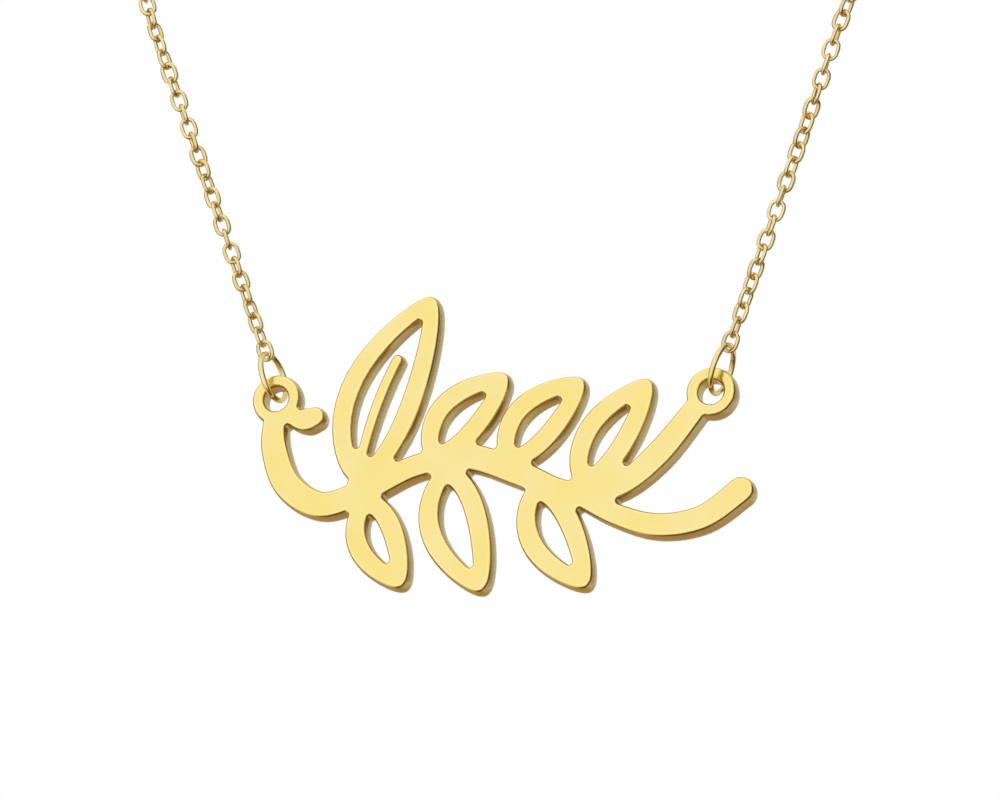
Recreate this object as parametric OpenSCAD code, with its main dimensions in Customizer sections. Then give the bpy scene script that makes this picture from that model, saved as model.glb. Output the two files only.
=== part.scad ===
// Nameplate necklace: an openwork leaf-spray plate hung by two jump rings between two runs of
// fine cable chain that meet in a barrel clasp at the nape. It keeps the form that it has when
// worn. The origin is at the nape, in the middle of the clasp. +Z is up and the plate faces -Y.

/* [Nameplate] */
// Distance between the centres of the two end rings
ring_span = 35.2; // [30:0.1:40]
// Height of the plate, from its lowest leaf tip to its highest
plate_height = 23.4; // [20:0.1:26]
// Thickness of the sheet that the plate is cut from
plate_t = 1.8; // [1:0.1:2]
// Tilt of the plate, with its foot forward as it lies on a chest, in degrees
plate_tilt = 14.5; // [0:0.5:20]
// Width of the stem and the tendrils
stem_w = 2.2; // [1.6:0.1:2.6]
// Width of the line round each open leaf
leaf_line_w = 1.7; // [1.2:0.1:2]
// Width of the midrib in the large leaf
rib_w = 0.9; // [0.6:0.1:1.2]
// Radius of the inner corners, where two lines meet
corner_r = 0.25; // [0.1:0.05:0.4]
// Outer diameter of the end rings
end_ring_d = 3.9; // [3.6:0.1:5]
// Diameter of the hole in the end rings
end_hole_d = 2; // [1.8:0.1:2.4]

/* [Jump rings] */
// Outer diameter of the jump rings
jump_d = 4.3; // [4:0.1:5]
// Diameter of the jump rings' wire
jump_wire = 0.45; // [0.35:0.05:0.55]
// Lean of the jump rings out from the vertical, in degrees
jump_lean = 17; // [0:1:20]
// Turn of the jump rings about the line that they hang along, in degrees
jump_turn = -6; // [-12:1:12]

/* [Chain] */
// Outer length of a link
link_l = 1.87; // [1.6:0.01:2.1]
// Outer width of a link, which is the width of the chain
link_w = 1.38; // [1.2:0.01:1.6]
// Diameter of the links' wire
link_wire = 0.34; // [0.24:0.01:0.36]
// Lean of the front runs of chain out from the vertical, in degrees
chain_lean = 20; // [12:1:26]
// Length of the straight front run of chain above each jump ring
front_run = 27; // [22:1:32]

/* [Clasp] */
// Length of the clasp's barrel
barrel_l = 8; // [6:0.5:10]
// Diameter of the clasp's barrel
barrel_d = 3; // [2.4:0.1:4]
// Outer diameter of the two eyes
eye_d = 2.4; // [2.2:0.1:3]
// Diameter of the eyes' wire
eye_wire = 0.5; // [0.4:0.05:0.55]

/* [Wearing] */
// Width of the loop of chain round the neck, between its centre lines
neck_w = 114; // [106:1:122]
// How far the plate hangs in front of the nape
front_reach = 110; // [100:1:120]
// How far the end rings hang below the nape
front_drop = 97; // [85:1:105]

/* [Hidden] */
$fn = 48;

// The gap between two pieces of wire that hang on each other
hang_gap = 0.1;
// The least gap between a jump ring and the plate's rim as the plate swings
swing_gap = 0.08;
// The gap between the drawn chain and the link that it hangs on
chain_gap = 0.12;

// The plate's drawing is 2-D, with its origin midway between the end rings. In the tables, x is a
// share of the end rings' distance, z a share of the plate's height and w a share of stem_w.
// Columns: x, z, w
STEM = [[-0.5, -0.06, 0.8], [-0.495, -0.17, 0.95], [-0.455, -0.3, 1], [-0.37, -0.37, 0.95],
        [-0.265, -0.315, 0.9], [-0.16, -0.24, 0.85], [-0.04, -0.21, 0.95], [0.08, -0.27, 0.9],
        [0.19, -0.335, 0.85], [0.3, -0.32, 0.85], [0.39, -0.21, 0.95], [0.47, -0.05, 0.85]];
TAIL = [[0.2, -0.335, 0.6], [0.3, -0.41, 0.75], [0.4, -0.45, 0.85], [0.5, -0.425, 0.9],
        [0.58, -0.335, 0.95]];
// The bud grows out of the left end ring, so its x and z are shares of end_ring_d, counted from the
// ring's centre. Columns: x, z, w
BUD = [[0.29, -0.25, 0.5], [0.46, -0.4, 0.7], [0.67, -0.44, 0.85], [0.84, -0.39, 0.75]];
// One row for each open leaf. Belly and bow are shares of the leaf's length, and rib is how far
// along the leaf its midrib reaches from the stalk, 0 for none.
// Columns: base x, base z, tip x, tip z, belly, bow, rib
LEAVES = [[-0.3, -0.35, -0.16, 0.32, 0.16, 0.06, 0.7],
          [-0.135, -0.235, 0.02, 0.05, 0.19, 0.07, 0],
          [0.04, -0.25, 0.195, 0.03, 0.19, 0.07, 0],
          [0.215, -0.335, 0.35, 0.02, 0.16, 0.05, 0],
          [-0.275, -0.33, -0.18, -0.63, 0.19, -0.06, 0],
          [-0.095, -0.22, 0.005, -0.645, 0.18, -0.06, 0],
          [0.11, -0.29, 0.24, -0.635, 0.18, -0.06, 0]];
// How far along the leaf its stalk reaches, as a share of the leaf's length
STALK_SHARE = 0.12;
// How blunt a leaf's tip is, from 0.5 for round to 1 for pointed
TIP_POWER = 0.7;

// Steps that a curve is drawn with between two rows of a stroke, along a leaf and round an end
STROKE_STEPS = 8;
LEAF_STEPS = 20;
END_STEPS = 10;
// Sides of a full circle in the inner corners
CORNER_SIDES = 24;

// The middle between the end rings before the plate tilts
plate_at = [0, -front_reach, -front_drop];
// The wire circle of a jump ring, and the middle of an end ring's rim
jump_r = (jump_d - jump_wire) / 2;
rim_w = (end_ring_d - end_hole_d) / 2;
rim_mid = (end_ring_d + end_hole_d) / 4;
// A jump ring's centre is this far above the middle of the rim, so that the rim turns freely in it
jump_seat = jump_r - jump_wire / 2 - norm([plate_t, rim_w]) / 2 - swing_gap;
jump_up = rim_mid + jump_seat;
jump_dir = [sin(jump_lean), 0, cos(jump_lean)];
jump_at = plate_at + [ring_span / 2, 0, 0] + jump_up * jump_dir;
// The plate turns about the line through the two places where the jump rings pass its rims
turn_z = rim_mid * cos(jump_lean);

// The front chain's first link hangs in the jump ring, and the chain goes on from its far end
chain_dir = [sin(chain_lean), 0, cos(chain_lean)];
link_reach = (link_l - link_wire) / 2;
end_link_at = jump_at + (jump_r - (jump_wire + link_wire) / 2 - hang_gap) * jump_dir
    + link_reach * chain_dir;
run_start = end_link_at + (link_l / 2 + chain_gap) * chain_dir;

// The clasp's eyes stand on the barrel's ends, and the last links hang in them
eye_r = (eye_d - eye_wire) / 2;
eye_x = barrel_l / 2 + eye_r;
clasp_link_x = eye_x + eye_r - (eye_wire + link_wire) / 2 - hang_gap + link_reach;
nape_start = [clasp_link_x + link_l / 2 + chain_gap, 0, 0];

// The route of the right-hand chain, from the nape round the neck and down to the plate. Its
// middle points are chosen by hand, and its ends follow the clasp, the plate and the front run.
// Columns, as shares of half of neck_w, of front_reach and of front_drop: out, forward, down
NECK_POINTS = [[0.26, 0.01, 0], [0.47, 0.03, 0], [0.7, 0.09, 0.02], [0.89, 0.21, 0.06],
               [0.98, 0.36, 0.12], [1, 0.52, 0.2], [0.94, 0.69, 0.28], [0.83, 0.82, 0.37],
               [0.7, 0.92, 0.46], [0.58, 0.97, 0.57]];
route = concat([nape_start],
    [for (p = NECK_POINTS) [p[0] * neck_w / 2, -p[1] * front_reach, -p[2] * front_drop]],
    [for (share = [1, 0.6, 0]) run_start + share * front_run * chain_dir]);
ROUTE_STEPS = 3;
TUBE_SIDES = 8;
// A direction that the route never runs along, from which the tube's rings are turned
TUBE_HINT = [0.3, 0.6, -0.7];

gold = [0.98, 0.84, 0.5];

// The point at share t of the way from row i to row i + 1 of a smooth curve through the rows
function along(rows, i, t) =
    let(a = rows[max(i - 1, 0)], b = rows[i], c = rows[i + 1], d = rows[min(i + 2, len(rows) - 1)])
    b + 0.5 * t * ((c - a) + t * ((2 * a - 5 * b + 4 * c - d) + t * (3 * b - a - 3 * c + d)));

// Every point of that curve
function smooth(rows, steps) =
    [for (i = [0:len(rows) - 2]) for (k = [0:steps - 1]) along(rows, i, k / steps),
     rows[len(rows) - 1]];

function unit(v) = v / norm(v);

// The direction of a line of points at point k
function heading(line, k) =
    unit(line[min(k + 1, len(line) - 1)] - line[max(k - 1, 0)]);

// A stroke's table as points in millimetres
function sized(rows) =
    [for (r = rows) [r[0] * ring_span, r[1] * plate_height, r[2] * stem_w]];

// The same for a stroke that is counted from the left end ring
function ring_sized(rows) =
    [for (r = rows) [r[0] * end_ring_d - ring_span / 2, r[1] * end_ring_d, r[2] * stem_w]];

// A brush line of changing width along points of x, z and width, with round ends
module brush(line) {
    last = len(line) - 1;
    flat_line = [for (p = line) [p[0], p[1]]];
    turns = [for (k = [0:last]) let(h = heading(flat_line, k)) atan2(h[1], h[0])];
    polygon(concat(
        [for (k = [0:last]) edge_point(line[k], turns[k] - 90)],
        [for (s = [1:END_STEPS - 1]) edge_point(line[last], turns[last] - 90 + 180 * s / END_STEPS)],
        [for (k = [last:-1:0]) edge_point(line[k], turns[k] + 90)],
        [for (s = [1:END_STEPS - 1]) edge_point(line[0], turns[0] + 90 + 180 * s / END_STEPS)]));
}

// The point on a brush line's edge in a direction from one of its points
function edge_point(p, angle) = [p[0] + p[2] / 2 * cos(angle), p[1] + p[2] / 2 * sin(angle)];

// A line along a leaf, from share t = from to share t = to of its length: side is 1 for its left
// edge seen from the base, -1 for its right edge and 0 for its middle. Its points are closer
// together towards both ends, where it bends most.
function leaf_line(leaf, side, from, to, w) =
    let(base = [leaf[0] * ring_span, leaf[1] * plate_height],
        tip = [leaf[2] * ring_span, leaf[3] * plate_height],
        across = [base[1] - tip[1], tip[0] - base[0]])
    [for (k = [0:LEAF_STEPS])
        let(t = from + (to - from) * (1 - cos(180 * k / LEAF_STEPS)) / 2,
            open = min(max((t - STALK_SHARE) / (1 - STALK_SHARE), 0), 1),
            belly = side * leaf[4] * pow(sin(180 * pow(open, 0.8)), TIP_POWER),
            out = belly + leaf[5] * sin(180 * t),
            p = base + t * (tip - base) + out * across)
        [p[0], p[1], w * (0.8 + 0.2 * sin(180 * t))]];

module open_leaf(leaf) {
    for (side = [-1, 1]) brush(leaf_line(leaf, side, STALK_SHARE, 1, leaf_line_w));
    brush(leaf_line(leaf, 0, 0, STALK_SHARE, leaf_line_w));
    if (leaf[6] > 0) brush(leaf_line(leaf, 0, 0, leaf[6], rib_w));
}

// The plate: stem, tendrils, leaves and end rings are cut as one piece of sheet
module nameplate() {
    color(gold) translate(plate_at + [0, 0, turn_z]) rotate([90 - plate_tilt, 0, 0])
        translate([0, -turn_z, 0]) linear_extrude(plate_t, center = true) difference() {
            offset(r = -corner_r, $fn = CORNER_SIDES) offset(delta = corner_r) {
                for (line = [sized(STEM), sized(TAIL), ring_sized(BUD)])
                    brush(smooth(line, STROKE_STEPS));
                for (leaf = LEAVES) open_leaf(leaf);
                for (side = [-1, 1]) translate([side * ring_span / 2, 0]) circle(d = end_ring_d);
            }
            for (side = [-1, 1]) translate([side * ring_span / 2, 0]) circle(d = end_hole_d);
        }
}

// A round ring of wire in the XZ plane
module wire_ring(r, wire) {
    rotate([90, 0, 0]) rotate_extrude() translate([r, 0]) circle(d = wire);
}

// A jump ring, on the right for side = 1. The two lean apart, and both are turned the same way.
module jump_ring(side) {
    color(gold) translate([side * jump_at[0], jump_at[1], jump_at[2]])
        rotate([0, side * jump_lean, 0]) rotate([0, 0, 90 + jump_turn])
            wire_ring(jump_r, jump_wire);
}

module jump_ring_left() { jump_ring(-1); }
module jump_ring_right() { jump_ring(1); }

// An oval link of wire in the XZ plane, long along Z
module link() {
    bend_r = (link_w - link_wire) / 2;
    straight = link_l - link_w;
    for (end = [-1, 1]) {
        translate([0, 0, end * straight / 2]) rotate([90, 0, 0])
            rotate_extrude(angle = 180, start = end > 0 ? 0 : 180)
                translate([bend_r, 0]) circle(d = link_wire);
        translate([end * bend_r, 0, 0]) cylinder(h = straight, d = link_wire, center = true);
    }
}

module end_link(side) {
    color(gold) translate([side * end_link_at[0], end_link_at[1], end_link_at[2]])
        rotate([0, side * chain_lean, 0]) link();
}

module end_link_left() { end_link(-1); }
module end_link_right() { end_link(1); }

// The chain's outer form: one tube along the route
module chain_right() {
    line = smooth(route, ROUTE_STEPS);
    last = len(line) - 1;
    rings = [for (k = [0:last])
        let(h = heading(line, k), u = unit(cross(h, TUBE_HINT)), v = cross(h, u))
        for (s = [0:TUBE_SIDES - 1])
            let(a = 360 * s / TUBE_SIDES)
            line[k] + link_w / 2 * (cos(a) * u + sin(a) * v)];
    walls = [for (k = [0:last - 1]) for (s = [0:TUBE_SIDES - 1])
        let(n = (s + 1) % TUBE_SIDES)
        [k * TUBE_SIDES + s, k * TUBE_SIDES + n, (k + 1) * TUBE_SIDES + n,
         (k + 1) * TUBE_SIDES + s]];
    color(gold) polyhedron(rings, concat(walls,
        [[for (s = [TUBE_SIDES - 1:-1:0]) s]],
        [[for (s = [0:TUBE_SIDES - 1]) last * TUBE_SIDES + s]]));
}

module chain_left() { mirror([1, 0, 0]) chain_right(); }

module clasp_link(side) {
    color(gold) translate([side * clasp_link_x, 0, 0]) rotate([0, 90, 0]) rotate([0, 0, 90]) link();
}

module clasp_link_left() { clasp_link(-1); }
module clasp_link_right() { clasp_link(1); }

// The clasp: a closed barrel with a wire eye on each end
module clasp() {
    color(gold) {
        rotate([0, 90, 0]) cylinder(h = barrel_l, d = barrel_d, center = true);
        for (side = [-1, 1]) translate([side * eye_x, 0, 0]) wire_ring(eye_r, eye_wire);
    }
}

nameplate();
jump_ring_left();
jump_ring_right();
end_link_left();
end_link_right();
chain_left();
chain_right();
clasp_link_left();
clasp_link_right();
clasp();
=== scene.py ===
import math
import random

import bmesh
import bpy
from mathutils import Matrix, Quaternion, Vector


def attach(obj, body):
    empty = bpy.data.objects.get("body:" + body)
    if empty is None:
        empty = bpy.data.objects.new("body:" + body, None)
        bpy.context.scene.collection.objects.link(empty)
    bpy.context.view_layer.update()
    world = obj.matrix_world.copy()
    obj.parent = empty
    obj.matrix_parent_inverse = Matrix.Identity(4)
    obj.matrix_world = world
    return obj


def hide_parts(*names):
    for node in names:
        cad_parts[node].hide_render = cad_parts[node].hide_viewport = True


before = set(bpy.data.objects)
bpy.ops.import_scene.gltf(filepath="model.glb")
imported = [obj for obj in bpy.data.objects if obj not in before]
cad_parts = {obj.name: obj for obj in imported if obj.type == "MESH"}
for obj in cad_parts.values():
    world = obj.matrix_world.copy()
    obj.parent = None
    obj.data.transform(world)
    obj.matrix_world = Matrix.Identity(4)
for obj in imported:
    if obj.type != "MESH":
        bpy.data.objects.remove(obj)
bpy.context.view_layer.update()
mm = 0.001

# The nameplate: an openwork leaf spray sawn from one 1.8 mm sheet of brass, with an end ring at
# each top corner. The faces are lapped flat and bright, the sawn walls are tumbled to a slight
# crown, and the whole is plated with pale yellow gold. It hangs by its end rings in the jump rings.
SHEET_THICKNESS = 1.8 * mm
PLATE_TILT = math.radians(14.5)
SHEET_BACK = Vector((0, math.cos(PLATE_TILT), -math.sin(PLATE_TILT)))
SHEET_UP = Vector((0, math.sin(PLATE_TILT), math.cos(PLATE_TILT)))
# The plate swings, and is tilted, about the line where the jump rings pass its end rings' rims.
# PLATE_AT is halfway between the middles of its end rings when it hangs upright from that line.
PLATE_AT = Vector((0, -110 * mm, -97 * mm))
TURN_HEIGHT = 1.41 * mm
TURN_LINE_AT = PLATE_AT + Vector((0, 0, TURN_HEIGHT))
RING_SPAN = 35.2 * mm
END_RING_AT = TURN_LINE_AT + Vector((RING_SPAN / 2, 0, 0)) - TURN_HEIGHT * SHEET_UP
BORE_RADIUS = 1 * mm
SHORT_EDGE = 0.06 * mm
SAME_FACE_TURN = math.radians(0.5)
CUT_EDGE_TURN = math.radians(60)
CRISP_EDGE_TURN = math.radians(40)
FLAT_FACE_DOT = 0.9
EDGE_ROUNDING = 0.3 * mm
EDGE_STEPS = 6
WALL_CROWN = 0.08 * mm
CROWN_STEPS = 6
FACE_GOLD = (0.938, 0.776, 0.328, 1)
FACE_WARM_GOLD = (0.926, 0.748, 0.252, 1)
# The sawn walls' two darker brown-golds are painted shade; the faint saw lines vary between them.
WALL_PAINTED_SHADE_GOLD = (0.63, 0.50, 0.24, 1)
WALL_SAW_LINES_AND_SHADE_GOLD = (0.56, 0.425, 0.19, 1)
WALL_ROUGHNESS = 0.3
WALL_STARTS = 0.84
WALL_FULL = 0.59
SAW_LINES_SCALE = (7000, 500, 7000)
PATCH_SCALE = 240
MARKS_HEIGHT = 0.1 * mm
NOISE_MIDDLE = {"From Min": 0.35, "From Max": 0.65}
PLATING_SOCKETS = [
    ("Place", "INPUT", "NodeSocketVector"),
    ("Marks place", "INPUT", "NodeSocketVector"),
    ("Gold", "INPUT", "NodeSocketColor"),
    ("Warm gold", "INPUT", "NodeSocketColor"),
    ("Polish roughness", "INPUT", "NodeSocketFloat"),
    ("Marks roughness", "INPUT", "NodeSocketFloat"),
    ("Marks depth", "INPUT", "NodeSocketFloat"),
    ("Colour", "OUTPUT", "NodeSocketColor"),
    ("Roughness", "OUTPUT", "NodeSocketFloat"),
    ("Normal", "OUTPUT", "NodeSocketVector"),
]


def add_node(tree, kind, settings=(), inputs=()):
    """Adds a shader node with its settings and its unlinked inputs."""
    node = tree.nodes.new(kind)
    for name, value in dict(settings).items():
        setattr(node, name, value)
    for name, value in dict(inputs).items():
        node.inputs[name].default_value = value
    return node


def gold_plating():
    """The plating that every metal part shares: soft patches of tone and fine polish marks."""
    tree = bpy.data.node_groups.new("gold plating", "ShaderNodeTree")
    for name, in_out, kind in PLATING_SOCKETS:
        tree.interface.new_socket(name, in_out=in_out, socket_type=kind)
    enter = add_node(tree, "NodeGroupInput")
    leave = add_node(tree, "NodeGroupOutput")
    link = tree.links.new

    patches = add_node(tree, "ShaderNodeTexNoise", inputs={
        "Scale": PATCH_SCALE, "Detail": 3, "Roughness": 0.5})
    patch_share = add_node(tree, "ShaderNodeMapRange", inputs=NOISE_MIDDLE)
    tone = add_node(tree, "ShaderNodeMix", {"data_type": "RGBA"})
    link(enter.outputs["Place"], patches.inputs["Vector"])
    link(patches.outputs["Fac"], patch_share.inputs["Value"])
    link(patch_share.outputs["Result"], tone.inputs["Factor"])
    link(enter.outputs["Gold"], tone.inputs["A"])
    link(enter.outputs["Warm gold"], tone.inputs["B"])
    link(tone.outputs["Result"], leave.inputs["Colour"])

    # The marks keep a scale of 1 here, because each material scales their place.
    marks = add_node(tree, "ShaderNodeTexNoise", inputs={"Scale": 1, "Detail": 4, "Roughness": 0.6})
    rough = add_node(tree, "ShaderNodeMath", {"operation": "MULTIPLY_ADD", "use_clamp": True})
    bump = add_node(tree, "ShaderNodeBump", inputs={"Distance": MARKS_HEIGHT})
    link(enter.outputs["Marks place"], marks.inputs["Vector"])
    link(marks.outputs["Fac"], rough.inputs[0])
    link(enter.outputs["Marks roughness"], rough.inputs[1])
    link(enter.outputs["Polish roughness"], rough.inputs[2])
    link(rough.outputs["Value"], leave.inputs["Roughness"])
    link(marks.outputs["Fac"], bump.inputs["Height"])
    link(enter.outputs["Marks depth"], bump.inputs["Strength"])
    link(bump.outputs["Normal"], leave.inputs["Normal"])
    return tree


PLATING = gold_plating()


def plated(name, gold, warm_gold, polish, marks_scale, marks_rough, marks_depth):
    """A plated-gold material, with its shader and its own setting of the shared plating."""
    material = bpy.data.materials.new(name)
    material.use_nodes = True
    tree = material.node_tree
    shader = tree.nodes["Principled BSDF"]
    shader.inputs["Metallic"].default_value = 1
    place = add_node(tree, "ShaderNodeTexCoord")
    marks_place = add_node(tree, "ShaderNodeMapping", inputs={"Scale": marks_scale})
    plating = add_node(tree, "ShaderNodeGroup", {"node_tree": PLATING, "name": "plating"}, {
        "Gold": gold,
        "Warm gold": warm_gold,
        "Polish roughness": polish,
        "Marks roughness": marks_rough,
        "Marks depth": marks_depth,
    })
    link = tree.links.new
    link(place.outputs["Object"], plating.inputs["Place"])
    link(place.outputs["Object"], marks_place.inputs["Vector"])
    link(marks_place.outputs["Vector"], plating.inputs["Marks place"])
    link(plating.outputs["Colour"], shader.inputs["Base Color"])
    link(plating.outputs["Roughness"], shader.inputs["Roughness"])
    link(plating.outputs["Normal"], shader.inputs["Normal"])
    return material


def plate_gold():
    """Bright lapped faces, and rougher sawn walls with faint saw lines, painted a darker brown-gold
    as painted shade.
    """
    material = plated(
        "plate gold", FACE_GOLD, FACE_WARM_GOLD,
        polish=0.14, marks_scale=(500, 500, 9000), marks_rough=0.06, marks_depth=0.02,
    )
    tree = material.node_tree
    link = tree.links.new
    shader = tree.nodes["Principled BSDF"]
    plating = tree.nodes["plating"]

    # The depth in the sheet runs from -1 on its front to 1 on its back. Squared, it is 1 on both
    # faces and falls to 0 in the middle of the sawn walls.
    place = add_node(tree, "ShaderNodeTexCoord")
    sheet_place = add_node(tree, "ShaderNodeMapping", {"vector_type": "TEXTURE"}, {
        "Location": TURN_LINE_AT,
        "Rotation": (-PLATE_TILT, 0, 0),
        "Scale": (SHEET_THICKNESS / 2,) * 3,
    })
    depth = add_node(tree, "ShaderNodeSeparateXYZ")
    depth_squared = add_node(tree, "ShaderNodeMath", {"operation": "MULTIPLY"})
    on_wall = add_node(tree, "ShaderNodeMapRange", {"interpolation_type": "SMOOTHSTEP"}, {
        "From Min": WALL_STARTS, "From Max": WALL_FULL})
    link(place.outputs["Object"], sheet_place.inputs["Vector"])
    link(sheet_place.outputs["Vector"], depth.inputs["Vector"])
    link(depth.outputs["Y"], depth_squared.inputs[0])
    link(depth.outputs["Y"], depth_squared.inputs[1])
    link(depth_squared.outputs["Value"], on_wall.inputs["Value"])

    # The walls and the outer part of the rounded edges get a darker brown-gold: painted shade, with
    # faint saw lines in it.
    saw_place = add_node(tree, "ShaderNodeMapping", inputs={"Scale": SAW_LINES_SCALE})
    saw_lines = add_node(tree, "ShaderNodeTexNoise", inputs={"Scale": 1, "Detail": 3})
    saw_share = add_node(tree, "ShaderNodeMapRange", inputs=NOISE_MIDDLE)
    wall_saw_lines_and_shade = add_node(tree, "ShaderNodeMix", {"data_type": "RGBA"}, {
        "A": WALL_PAINTED_SHADE_GOLD, "B": WALL_SAW_LINES_AND_SHADE_GOLD})
    colour = add_node(tree, "ShaderNodeMix", {"data_type": "RGBA"})
    link(place.outputs["Object"], saw_place.inputs["Vector"])
    link(saw_place.outputs["Vector"], saw_lines.inputs["Vector"])
    link(saw_lines.outputs["Fac"], saw_share.inputs["Value"])
    link(saw_share.outputs["Result"], wall_saw_lines_and_shade.inputs["Factor"])
    link(on_wall.outputs["Result"], colour.inputs["Factor"])
    link(plating.outputs["Colour"], colour.inputs["A"])
    link(wall_saw_lines_and_shade.outputs["Result"], colour.inputs["B"])
    link(colour.outputs["Result"], shader.inputs["Base Color"])

    rough = add_node(tree, "ShaderNodeMix", inputs={"B": WALL_ROUGHNESS})
    link(on_wall.outputs["Result"], rough.inputs["Factor"])
    link(plating.outputs["Roughness"], rough.inputs["A"])
    link(rough.outputs["Result"], shader.inputs["Roughness"])
    return material


def finished_piece(name, bm, material, body, slot, *nodes):
    """Turns a bmesh into a piece at the origin that rides on a body and stands for CAD nodes."""
    mesh = bpy.data.meshes.new(name)
    bm.to_mesh(mesh)
    bm.free()
    mesh.materials.append(material)
    piece = bpy.data.objects.new(name, mesh)
    bpy.context.collection.objects.link(piece)
    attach(piece, body)
    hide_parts(*nodes)
    return piece


def swell_walls(bm):
    """Swells the sawn walls towards the middle of the sheet, apart from the drilled bores."""
    half_wall = SHEET_THICKNESS / 2 - EDGE_ROUNDING
    swelling = []
    for k in range(1, CROWN_STEPS):
        depth = 2 * k / CROWN_STEPS - 1
        cut = bmesh.ops.bisect_plane(
            bm, geom=bm.verts[:] + bm.edges[:] + bm.faces[:],
            plane_co=TURN_LINE_AT + depth * half_wall * SHEET_BACK, plane_no=SHEET_BACK,
        )["geom_cut"]
        swelling += [(g, 1 - depth ** 2) for g in cut if isinstance(g, bmesh.types.BMVert)]
    bm.normal_update()

    # The left bore mirrors the right one, so both are looked for on the right.
    for vert, share in swelling:
        on_right = Vector((abs(vert.co.x), vert.co.y, vert.co.z))
        if (on_right - END_RING_AT).cross(SHEET_BACK).length > BORE_RADIUS + SHORT_EDGE:
            vert.co += WALL_CROWN * share * vert.normal


def leaf_spray_plate():
    """The sawn plate, with its edges rounded and its walls crowned by tumbling."""
    # The node's loose triangles are joined into whole faces, so that only real edges are rounded.
    bm = bmesh.new()
    bm.from_mesh(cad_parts["nameplate"].data)
    bmesh.ops.remove_doubles(bm, verts=bm.verts, dist=SHORT_EDGE)
    bmesh.ops.dissolve_limit(bm, angle_limit=SAME_FACE_TURN, verts=bm.verts, edges=bm.edges)
    rims = [
        edge for edge in bm.edges
        if len(edge.link_faces) == 2
        and edge.calc_face_angle() > CUT_EDGE_TURN
        and max(abs(face.normal.dot(SHEET_BACK)) for face in edge.link_faces) > FLAT_FACE_DOT
    ]
    bmesh.ops.bevel(
        bm, geom=rims, offset=EDGE_ROUNDING, offset_type="OFFSET", affect="EDGES",
        segments=EDGE_STEPS, profile=0.5, material=-1, clamp_overlap=False, miter_outer="ARC",
    )
    swell_walls(bm)
    for face in bm.faces:
        face.smooth = True
    for edge in bm.edges:
        if len(edge.link_faces) == 2 and edge.calc_face_angle() > CRISP_EDGE_TURN:
            edge.smooth = False
    return bm


plate = finished_piece(
    "leaf_spray_plate", leaf_spray_plate(), plate_gold(), "plate", "plate_gold", "nameplate",
)
even_shading = plate.modifiers.new("even shading", "WEIGHTED_NORMAL")
even_shading.keep_sharp = True

# The jump rings: two round rings bent from 0.45 mm gold-plated brass wire. Each is pressed shut
# through one end ring and the first link of a chain, with a butt joint that stays just visible.
JUMP_RADIUS = 1.925 * mm
JUMP_WIRE = 0.45 * mm
JUMP_SIDES = 14
JUMP_STEPS = 56
JUMP_LEAN = math.radians(17)
JUMP_TURN = math.radians(-6)
JUMP_UP = 2.077 * mm
JOINT_GAP = math.radians(0.5)
JOINT_AT = math.radians(25)
WIRE_GOLD = (0.92, 0.77, 0.40, 1)
WIRE_WARM_GOLD = (0.86, 0.68, 0.30, 1)


def bent_ring(bm, radius, wire, place, sides, steps, gap=0):
    """Bends a round wire into a ring about Y, with a butt joint where there is a gap."""
    section = bmesh.ops.create_circle(bm, segments=sides, radius=wire / 2, cap_ends=False)["verts"]
    bmesh.ops.translate(bm, verts=section, vec=(radius, 0, 0))
    edges = list({edge for vert in section for edge in vert.link_edges})
    before = set(bm.verts) - set(section)
    bent = bmesh.ops.spin(
        bm, geom=section + edges, cent=(0, 0, 0), axis=(0, 1, 0), angle=math.tau - gap,
        steps=steps, use_merge=gap == 0,
    )["geom_last"]
    if gap:
        bmesh.ops.contextual_create(bm, geom=edges)
        bmesh.ops.contextual_create(bm, geom=[g for g in bent if isinstance(g, bmesh.types.BMEdge)])
    made = [vert for vert in bm.verts if vert not in before]
    bmesh.ops.transform(bm, matrix=place, verts=made)
    return made


def jump_ring(side):
    """A jump ring where it hangs, with its joint turned to the back."""
    bm = bmesh.new()
    up = Vector((side * math.sin(JUMP_LEAN), 0, math.cos(JUMP_LEAN)))
    centre = PLATE_AT + Vector((side * RING_SPAN / 2, 0, 0)) + JUMP_UP * up
    place = (
        Matrix.Translation(centre)
        @ Matrix.Rotation(side * JUMP_LEAN, 4, "Y")
        @ Matrix.Rotation(math.radians(90) + JUMP_TURN, 4, "Z")
        @ Matrix.Rotation(JOINT_AT, 4, "Y")
    )
    bent_ring(bm, JUMP_RADIUS, JUMP_WIRE, place, JUMP_SIDES, JUMP_STEPS, gap=JOINT_GAP)
    bmesh.ops.recalc_face_normals(bm, faces=bm.faces)
    for face in bm.faces:
        face.smooth = len(face.verts) == 4
    return bm


ring_gold = plated(
    "ring gold", WIRE_GOLD, WIRE_WARM_GOLD,
    polish=0.13, marks_scale=(4000, 4000, 4000), marks_rough=0.08, marks_depth=0.02,
)
for side, name in ((-1, "left"), (1, "right")):
    finished_piece(
        f"bent_jump_ring_{name}", jump_ring(side), ring_gold, "chain", "ring_gold",
        f"jump_ring_{name}",
    )

# The chain: a fine cable chain of oval links in 0.34 mm gold-plated brass wire, each soldered shut
# through the one before. Its first link hangs in the jump ring and its last in the clasp's eye.
LINK_LENGTH = 1.87 * mm
LINK_WIDTH = 1.38 * mm
LINK_WIRE = 0.34 * mm
LINK_PITCH = 1.18 * mm
CHAIN_LEAN = math.radians(20)
LINK_PLAY = math.radians(9)
LINK_TWIST = math.radians(9)
END_LINK_AT = Vector((18.887, -110, -92.927)) * mm
CLASP_LINK_AT = Vector((6.145, 0, 0)) * mm
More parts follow.
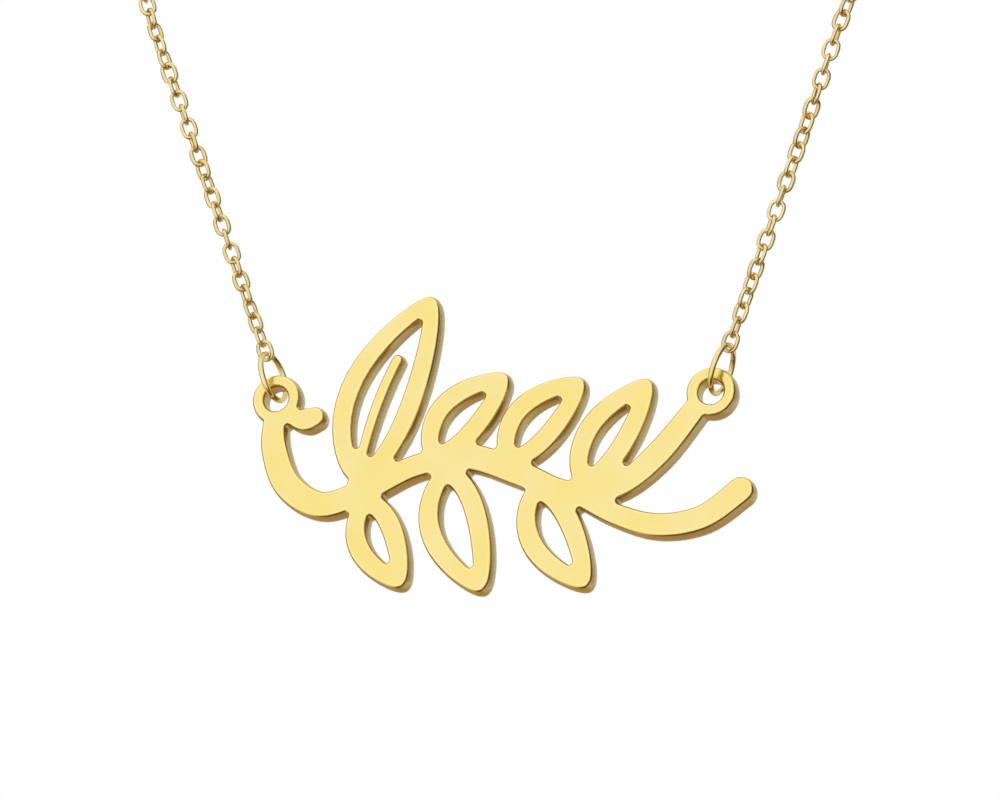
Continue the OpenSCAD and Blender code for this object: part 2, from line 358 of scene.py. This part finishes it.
# The right run's route in mm, from the clasp's link down round the neck to the jump ring's link.
CHAIN_ROUTE = [
    (7.2, 0, 0), (14.82, -1.1, 0), (26.79, -3.3, 0), (39.9, -9.9, -1.94), (50.73, -23.1, -5.82),
    (55.86, -39.6, -11.64), (57, -57.2, -19.4), (53.58, -75.9, -27.16), (47.31, -90.2, -35.89),
    (39.9, -101.2, -44.62), (33.06, -106.7, -55.29), (28.48, -110, -66.56), (24.79, -110, -76.71),
    (19.25, -110, -91.94),
]
ROUTE_STEPS = 12
BEND_STEPS = 6
WIRE_SIDES = 6
SAME_POINT = 0.001 * mm
PLAY_SEED = 11
LINK_GOLD = (0.88, 0.745, 0.40, 1)
LINK_WARM_GOLD = (0.78, 0.62, 0.29, 1)


def oval_link():
    """One soldered oval link of round wire, standing along Z in the XZ plane."""
    bm = bmesh.new()
    bend = (LINK_WIDTH - LINK_WIRE) / 2
    straight = LINK_LENGTH - LINK_WIDTH
    first = bmesh.ops.create_circle(bm, segments=WIRE_SIDES, radius=LINK_WIRE / 2)["verts"]
    bmesh.ops.translate(bm, verts=first, vec=(bend, 0, straight / 2))
    start = list({edge for vert in first for edge in vert.link_edges})
    top = bmesh.ops.spin(
        bm, geom=first + start, cent=(0, 0, straight / 2), axis=(0, -1, 0), angle=math.pi,
        steps=BEND_STEPS,
    )["geom_last"]
    top_edges = [g for g in top if isinstance(g, bmesh.types.BMEdge)]
    side = bmesh.ops.extrude_edge_only(bm, edges=top_edges)["geom"]
    side_verts = [g for g in side if isinstance(g, bmesh.types.BMVert)]
    side_edges = [
        g for g in side
        if isinstance(g, bmesh.types.BMEdge) and all(vert in side_verts for vert in g.verts)
    ]
    bmesh.ops.translate(bm, verts=side_verts, vec=(0, 0, -straight))
    foot = bmesh.ops.spin(
        bm, geom=side_verts + side_edges, cent=(0, 0, -straight / 2), axis=(0, -1, 0),
        angle=math.pi, steps=BEND_STEPS,
    )["geom_last"]
    foot_edges = [g for g in foot if isinstance(g, bmesh.types.BMEdge)]
    bmesh.ops.bridge_loops(bm, edges=start + foot_edges)
    bmesh.ops.remove_doubles(bm, verts=bm.verts, dist=SAME_POINT)
    bmesh.ops.recalc_face_normals(bm, faces=bm.faces)
    link = bpy.data.meshes.new("oval link")
    bm.to_mesh(link)
    bm.free()
    return link


def between(before, start, end, after, share):
    """A point on the smooth curve from start to end, which also passes before and after."""
    slope = end - before
    bend = 2 * before - 5 * start + 4 * end - after
    swing = 3 * start - before - 3 * end + after
    return start + 0.5 * share * (slope + share * (bend + share * swing))


def chain_line(side):
    """The chain's centre line from its first link to its last, in short steps."""
    rows = [Vector(row) * mm for row in CHAIN_ROUTE]
    line = [CLASP_LINK_AT]
    for k in range(len(rows) - 1):
        before, after = rows[max(k - 1, 0)], rows[min(k + 2, len(rows) - 1)]
        for step in range(ROUTE_STEPS):
            line.append(between(before, rows[k], rows[k + 1], after, step / ROUTE_STEPS))
    line += [rows[-1], END_LINK_AT]
    return [Vector((side * point.x, point.y, point.z)) for point in reversed(line)]


def link_places(line):
    """Even places along the line for as many links as keep nearest to their pitch."""
    reach = [0]
    for start, end in zip(line, line[1:]):
        reach.append(reach[-1] + (end - start).length)
    count = round(reach[-1] / LINK_PITCH)
    places = []
    at = 0
    for k in range(count + 1):
        distance = reach[-1] * k / count
        while at < len(line) - 2 and reach[at + 1] < distance:
            at += 1
        share = (distance - reach[at]) / (reach[at + 1] - reach[at])
        places.append(line[at].lerp(line[at + 1], share))
    return places


def chain_run(side, seed):
    """Threads the links on the line, each a quarter turn and a little twist on from the last."""
    chance = random.Random(seed)
    places = link_places(chain_line(side))
    last = len(places) - 1
    headings = [
        (places[min(k + 1, last)] - places[max(k - 1, 0)]).normalized() for k in range(last + 1)
    ]
    across = [Vector((math.cos(CHAIN_LEAN), 0, -side * math.sin(CHAIN_LEAN)))]
    for heading in headings[1:]:
        across.append((across[-1] - across[-1].dot(heading) * heading).normalized())

    # The twist is shared out so that the last link lies flat in the clasp's eye.
    lying = across[-1].cross(headings[-1]).dot(Vector((0, 1, 0)))
    step = math.radians(90) - LINK_TWIST
    step -= math.remainder(math.atan2(lying, across[-1].y) + step * last, math.pi) / last

    bm = bmesh.new()
    link = oval_link()
    tone = bm.faces.layers.float.new("link_tone")
    for k, place in enumerate(places):
        play = chance.uniform(-1, 1) * LINK_PLAY if 0 < k < last else 0
        width = Quaternion(headings[k], step * k + play) @ across[k]
        depth = headings[k].cross(width)
        stance = Matrix((width, depth, headings[k])).transposed().to_4x4()
        known_verts = len(bm.verts)
        known_faces = len(bm.faces)
        bm.from_mesh(link)
        bm.verts.ensure_lookup_table()
        bm.faces.ensure_lookup_table()
        bmesh.ops.transform(
            bm, matrix=Matrix.Translation(place) @ stance, verts=bm.verts[known_verts:],
        )
        shade = chance.random()
        for face in bm.faces[known_faces:]:
            face[tone] = shade
            face.smooth = True
    return bm


def link_gold():
    """Plated wire whose tone differs a little from link to link."""
    material = plated(
        "chain gold", LINK_GOLD, LINK_WARM_GOLD,
        polish=0.16, marks_scale=(5000, 5000, 5000), marks_rough=0.1, marks_depth=0.03,
    )
    tree = material.node_tree
    own_tone = add_node(tree, "ShaderNodeAttribute", {"attribute_name": "link_tone"})
    gold = add_node(tree, "ShaderNodeMix", {"data_type": "RGBA"}, {
        "A": LINK_GOLD, "B": LINK_WARM_GOLD})
    tree.links.new(own_tone.outputs["Fac"], gold.inputs["Factor"])
    tree.links.new(gold.outputs["Result"], tree.nodes["plating"].inputs["Gold"])
    return material


chain_gold = link_gold()
for side, name in ((-1, "left"), (1, "right")):
    finished_piece(
        f"cable_chain_{name}", chain_run(side, PLAY_SEED + side), chain_gold, "chain", "chain_gold",
        f"chain_{name}", f"end_link_{name}", f"clasp_link_{name}",
    )

# The clasp: a small barrel clasp, turned in two halves from brass rod and plated. The halves meet
# in a fine seam, and a wire eye is soldered to each end for the chain's last link.
BARREL_STEPS = 48
CRISP_SEAM_TURN = math.radians(32)
# Half of the barrel's outline, from the seam to its end: how far along, and the radius, in mm.
HALF_BARREL = [
    (0, 1.44), (0.05, 1.5), (2.0, 1.5), (2.05, 1.44), (2.15, 1.44), (2.2, 1.5), (3.0, 1.5),
    (3.1, 1.4), (3.2, 1.4), (3.45, 1.32), (3.72, 1.14), (3.93, 0.86), (4.0, 0.62), (4.0, 0),
]
EYE_RADIUS = 0.95 * mm
EYE_WIRE = 0.5 * mm
EYE_SIDES = 12
EYE_STEPS = 36
EYE_AT = HALF_BARREL[-1][0] * mm + EYE_RADIUS


def barrel_clasp():
    """The closed barrel with its seam, its two turned grooves and its eyes."""
    bm = bmesh.new()
    outline = [(-along, radius) for along, radius in reversed(HALF_BARREL)] + HALF_BARREL[1:]
    verts = [bm.verts.new((along * mm, 0, radius * mm)) for along, radius in outline]
    edges = [bm.edges.new(pair) for pair in zip(verts, verts[1:])]
    bmesh.ops.spin(
        bm, geom=verts + edges, cent=(0, 0, 0), axis=(1, 0, 0), angle=math.tau,
        steps=BARREL_STEPS, use_merge=True,
    )
    for side in (-1, 1):
        place = Matrix.Translation((side * EYE_AT, 0, 0))
        bent_ring(bm, EYE_RADIUS, EYE_WIRE, place, EYE_SIDES, EYE_STEPS)
    bmesh.ops.remove_doubles(bm, verts=bm.verts, dist=SAME_POINT)
    bmesh.ops.recalc_face_normals(bm, faces=bm.faces)
    for face in bm.faces:
        face.smooth = True
    for edge in bm.edges:
        if len(edge.link_faces) == 2 and edge.calc_face_angle() > CRISP_SEAM_TURN:
            edge.smooth = False
    return bm


clasp_gold = plated(
    "clasp gold", WIRE_GOLD, WIRE_WARM_GOLD,
    polish=0.14, marks_scale=(400, 9000, 9000), marks_rough=0.08, marks_depth=0.03,
)
finished_piece("barrel_clasp", barrel_clasp(), clasp_gold, "chain", "clasp_gold", "clasp")

# The set: the necklace hangs well above a plain pale floor in a soft white room. Coloured screens
# stand round it, so that the polished edges, walls and wire get an outline. Only the metal sees
# them: behind the necklace the camera sees plain white, which meets the floor without a line.
FLOOR_AT = -0.3
FLOOR_REACH = 5
FLOOR_COLOUR = (0.9, 0.9, 0.89, 1)
FLOOR_ROUGHNESS = 0.8
BACKDROP_WHITE = (1, 1, 1, 1)
BACKDROP_AT_FLOOR = (0.803, 0.787, 0.749, 1)
FLOOR_TONE_BELOW = -0.035
WHITE_ABOVE = -0.0205
# The white room's tones, by the cosine of the angle to one way, up in front on the left: 0 is all
# that stands square to that way or farther round, and 1 is that way itself.
LIGHT_WAY = (-0.30, -0.80, 0.52)
ROOM_TONES = [
    (0.0, (0.80, 0.78, 0.75, 1)), (0.5, (1.05, 1.04, 1.02, 1)),
    (0.85, (1.15, 1.14, 1.12, 1)), (1.0, (1.02, 1.02, 1.02, 1)),
]
# Each screen's way from the necklace, the cosines at which its soft edge starts and ends, and its
# colour. The walls mirror the first three, which are gold-brown below, grey behind and brown low
# behind. The rounded edges mirror the next four, which are dark: below, low on the right, on the
# right and on the left. The far sides of the walls mirror the last, a light one behind.
SCREENS = [
    ((0, 0.2, -1), 0.30, 0.85, (0.72, 0.55, 0.34, 1)),
    ((0.35, 0.9, 0.15), 0.15, 0.6, (0.80, 0.77, 0.72, 1)),
    ((-0.1, 0.75, -0.6), 0.80, 0.95, (0.62, 0.45, 0.26, 1)),
    ((0.1, -0.2, -1), 0.76, 0.90, (0.16, 0.10, 0.045, 1)),
    ((0.8, -0.12, -0.55), 0.80, 0.90, (0.12, 0.085, 0.05, 1)),
    ((0.94, 0.27, 0.2), 0.77, 0.885, (0.12, 0.085, 0.05, 1)),
    ((-0.85, 0.5, 0), 0.78, 0.94, (0.24, 0.18, 0.11, 1)),
    ((-0.32, 0.94, 0.08), 0.90, 0.985, (1.05, 1.03, 1.0, 1)),
]
SHOT_CENTRE = Vector((0.73 * mm, -111 * mm, -97.15 * mm))
SHOT_AZIMUTH = math.radians(17.5)
SHOT_ELEVATION = math.radians(-3)
PIXELS_PER_METRE = 12960
PHOTO_WIDTH = 1000
LENS = 200
NEAREST_SEEN = 0.01
FARTHEST_SEEN = 30


def pale_floor():
    """A plain matt floor, which the metal doesn't mirror."""
    bm = bmesh.new()
    bmesh.ops.create_grid(bm, x_segments=2, y_segments=2, size=FLOOR_REACH)
    bmesh.ops.translate(bm, verts=bm.verts, vec=(0, 0, FLOOR_AT))
    mesh = bpy.data.meshes.new("pale floor")
    bm.to_mesh(mesh)
    bm.free()
    material = bpy.data.materials.new("pale floor")
    material.use_nodes = True
    shader = material.node_tree.nodes["Principled BSDF"]
    shader.inputs["Base Color"].default_value = FLOOR_COLOUR
    shader.inputs["Roughness"].default_value = FLOOR_ROUGHNESS
    mesh.materials.append(material)
    floor = bpy.data.objects.new("pale_floor", mesh)
    bpy.context.collection.objects.link(floor)
    floor.visible_glossy = False


def facing(tree, way, towards):
    """The cosine of the angle between the way that light comes from and a fixed one."""
    cosine = add_node(tree, "ShaderNodeVectorMath", {"operation": "DOT_PRODUCT"})
    cosine.inputs[1].default_value = Vector(towards).normalized()
    tree.links.new(way, cosine.inputs[0])
    return cosine.outputs["Value"]


def screen(tree, way, room, towards, start, full, colour):
    """Hangs a soft-edged coloured screen in one direction, in front of the room so far."""
    cover = add_node(tree, "ShaderNodeMapRange", {"interpolation_type": "SMOOTHSTEP"}, {
        "From Min": start, "From Max": full})
    seen = add_node(tree, "ShaderNodeMix", {"data_type": "RGBA"}, {"B": colour})
    tree.links.new(facing(tree, way, towards), cover.inputs["Value"])
    tree.links.new(cover.outputs["Result"], seen.inputs["Factor"])
    tree.links.new(room, seen.inputs["A"])
    return seen.outputs["Result"]


def soft_room():
    """A white room, lightest at the upper left, with its screens and the backdrop that is seen."""
    world = bpy.data.worlds.new("soft room")
    bpy.context.scene.world = world
    world.use_nodes = True
    tree = world.node_tree
    link = tree.links.new
    way = add_node(tree, "ShaderNodeTexCoord").outputs["Generated"]
    white = add_node(tree, "ShaderNodeValToRGB")
    while len(white.color_ramp.elements) < len(ROOM_TONES):
        white.color_ramp.elements.new(0.5)
    for element, (place, tone) in zip(white.color_ramp.elements, ROOM_TONES):
        element.position = place
        element.color = tone
    link(facing(tree, way, LIGHT_WAY), white.inputs["Fac"])
    room = white.outputs["Color"]
    for towards, start, full, colour in SCREENS:
        room = screen(tree, way, room, towards, start, full, colour)

    height = add_node(tree, "ShaderNodeSeparateXYZ")
    above_floor = add_node(tree, "ShaderNodeMapRange", {"interpolation_type": "SMOOTHSTEP"}, {
        "From Min": FLOOR_TONE_BELOW, "From Max": WHITE_ABOVE})
    backdrop = add_node(tree, "ShaderNodeMix", {"data_type": "RGBA"}, {
        "A": BACKDROP_AT_FLOOR, "B": BACKDROP_WHITE})
    direct = add_node(tree, "ShaderNodeLightPath")
    seen = add_node(tree, "ShaderNodeMix", {"data_type": "RGBA"})
    link(way, height.inputs["Vector"])
    link(height.outputs["Z"], above_floor.inputs["Value"])
    link(above_floor.outputs["Result"], backdrop.inputs["Factor"])
    link(direct.outputs["Is Camera Ray"], seen.inputs["Factor"])
    link(room, seen.inputs["A"])
    link(backdrop.outputs["Result"], seen.inputs["B"])
    link(seen.outputs["Result"], tree.nodes["Background"].inputs["Color"])


def shot_camera():
    """The photograph's view: from the right of the plate and a little below it."""
    data = bpy.data.cameras.new("shot camera")
    camera = bpy.data.objects.new("shot_camera", data)
    bpy.context.collection.objects.link(camera)
    data.lens = LENS
    data.clip_start = NEAREST_SEEN
    data.clip_end = FARTHEST_SEEN
    distance = PHOTO_WIDTH / PIXELS_PER_METRE * LENS / data.sensor_width
    back = Vector((
        math.sin(SHOT_AZIMUTH) * math.cos(SHOT_ELEVATION),
        -math.cos(SHOT_AZIMUTH) * math.cos(SHOT_ELEVATION),
        math.sin(SHOT_ELEVATION),
    ))
    camera.rotation_mode = "QUATERNION"
    camera.location = SHOT_CENTRE + distance * back
    camera.rotation_quaternion = (-back).to_track_quat("-Z", "Y")
    bpy.context.scene.camera = camera


pale_floor()
soft_room()
shot_camera()
bpy.context.scene.view_settings.view_transform = "Standard"
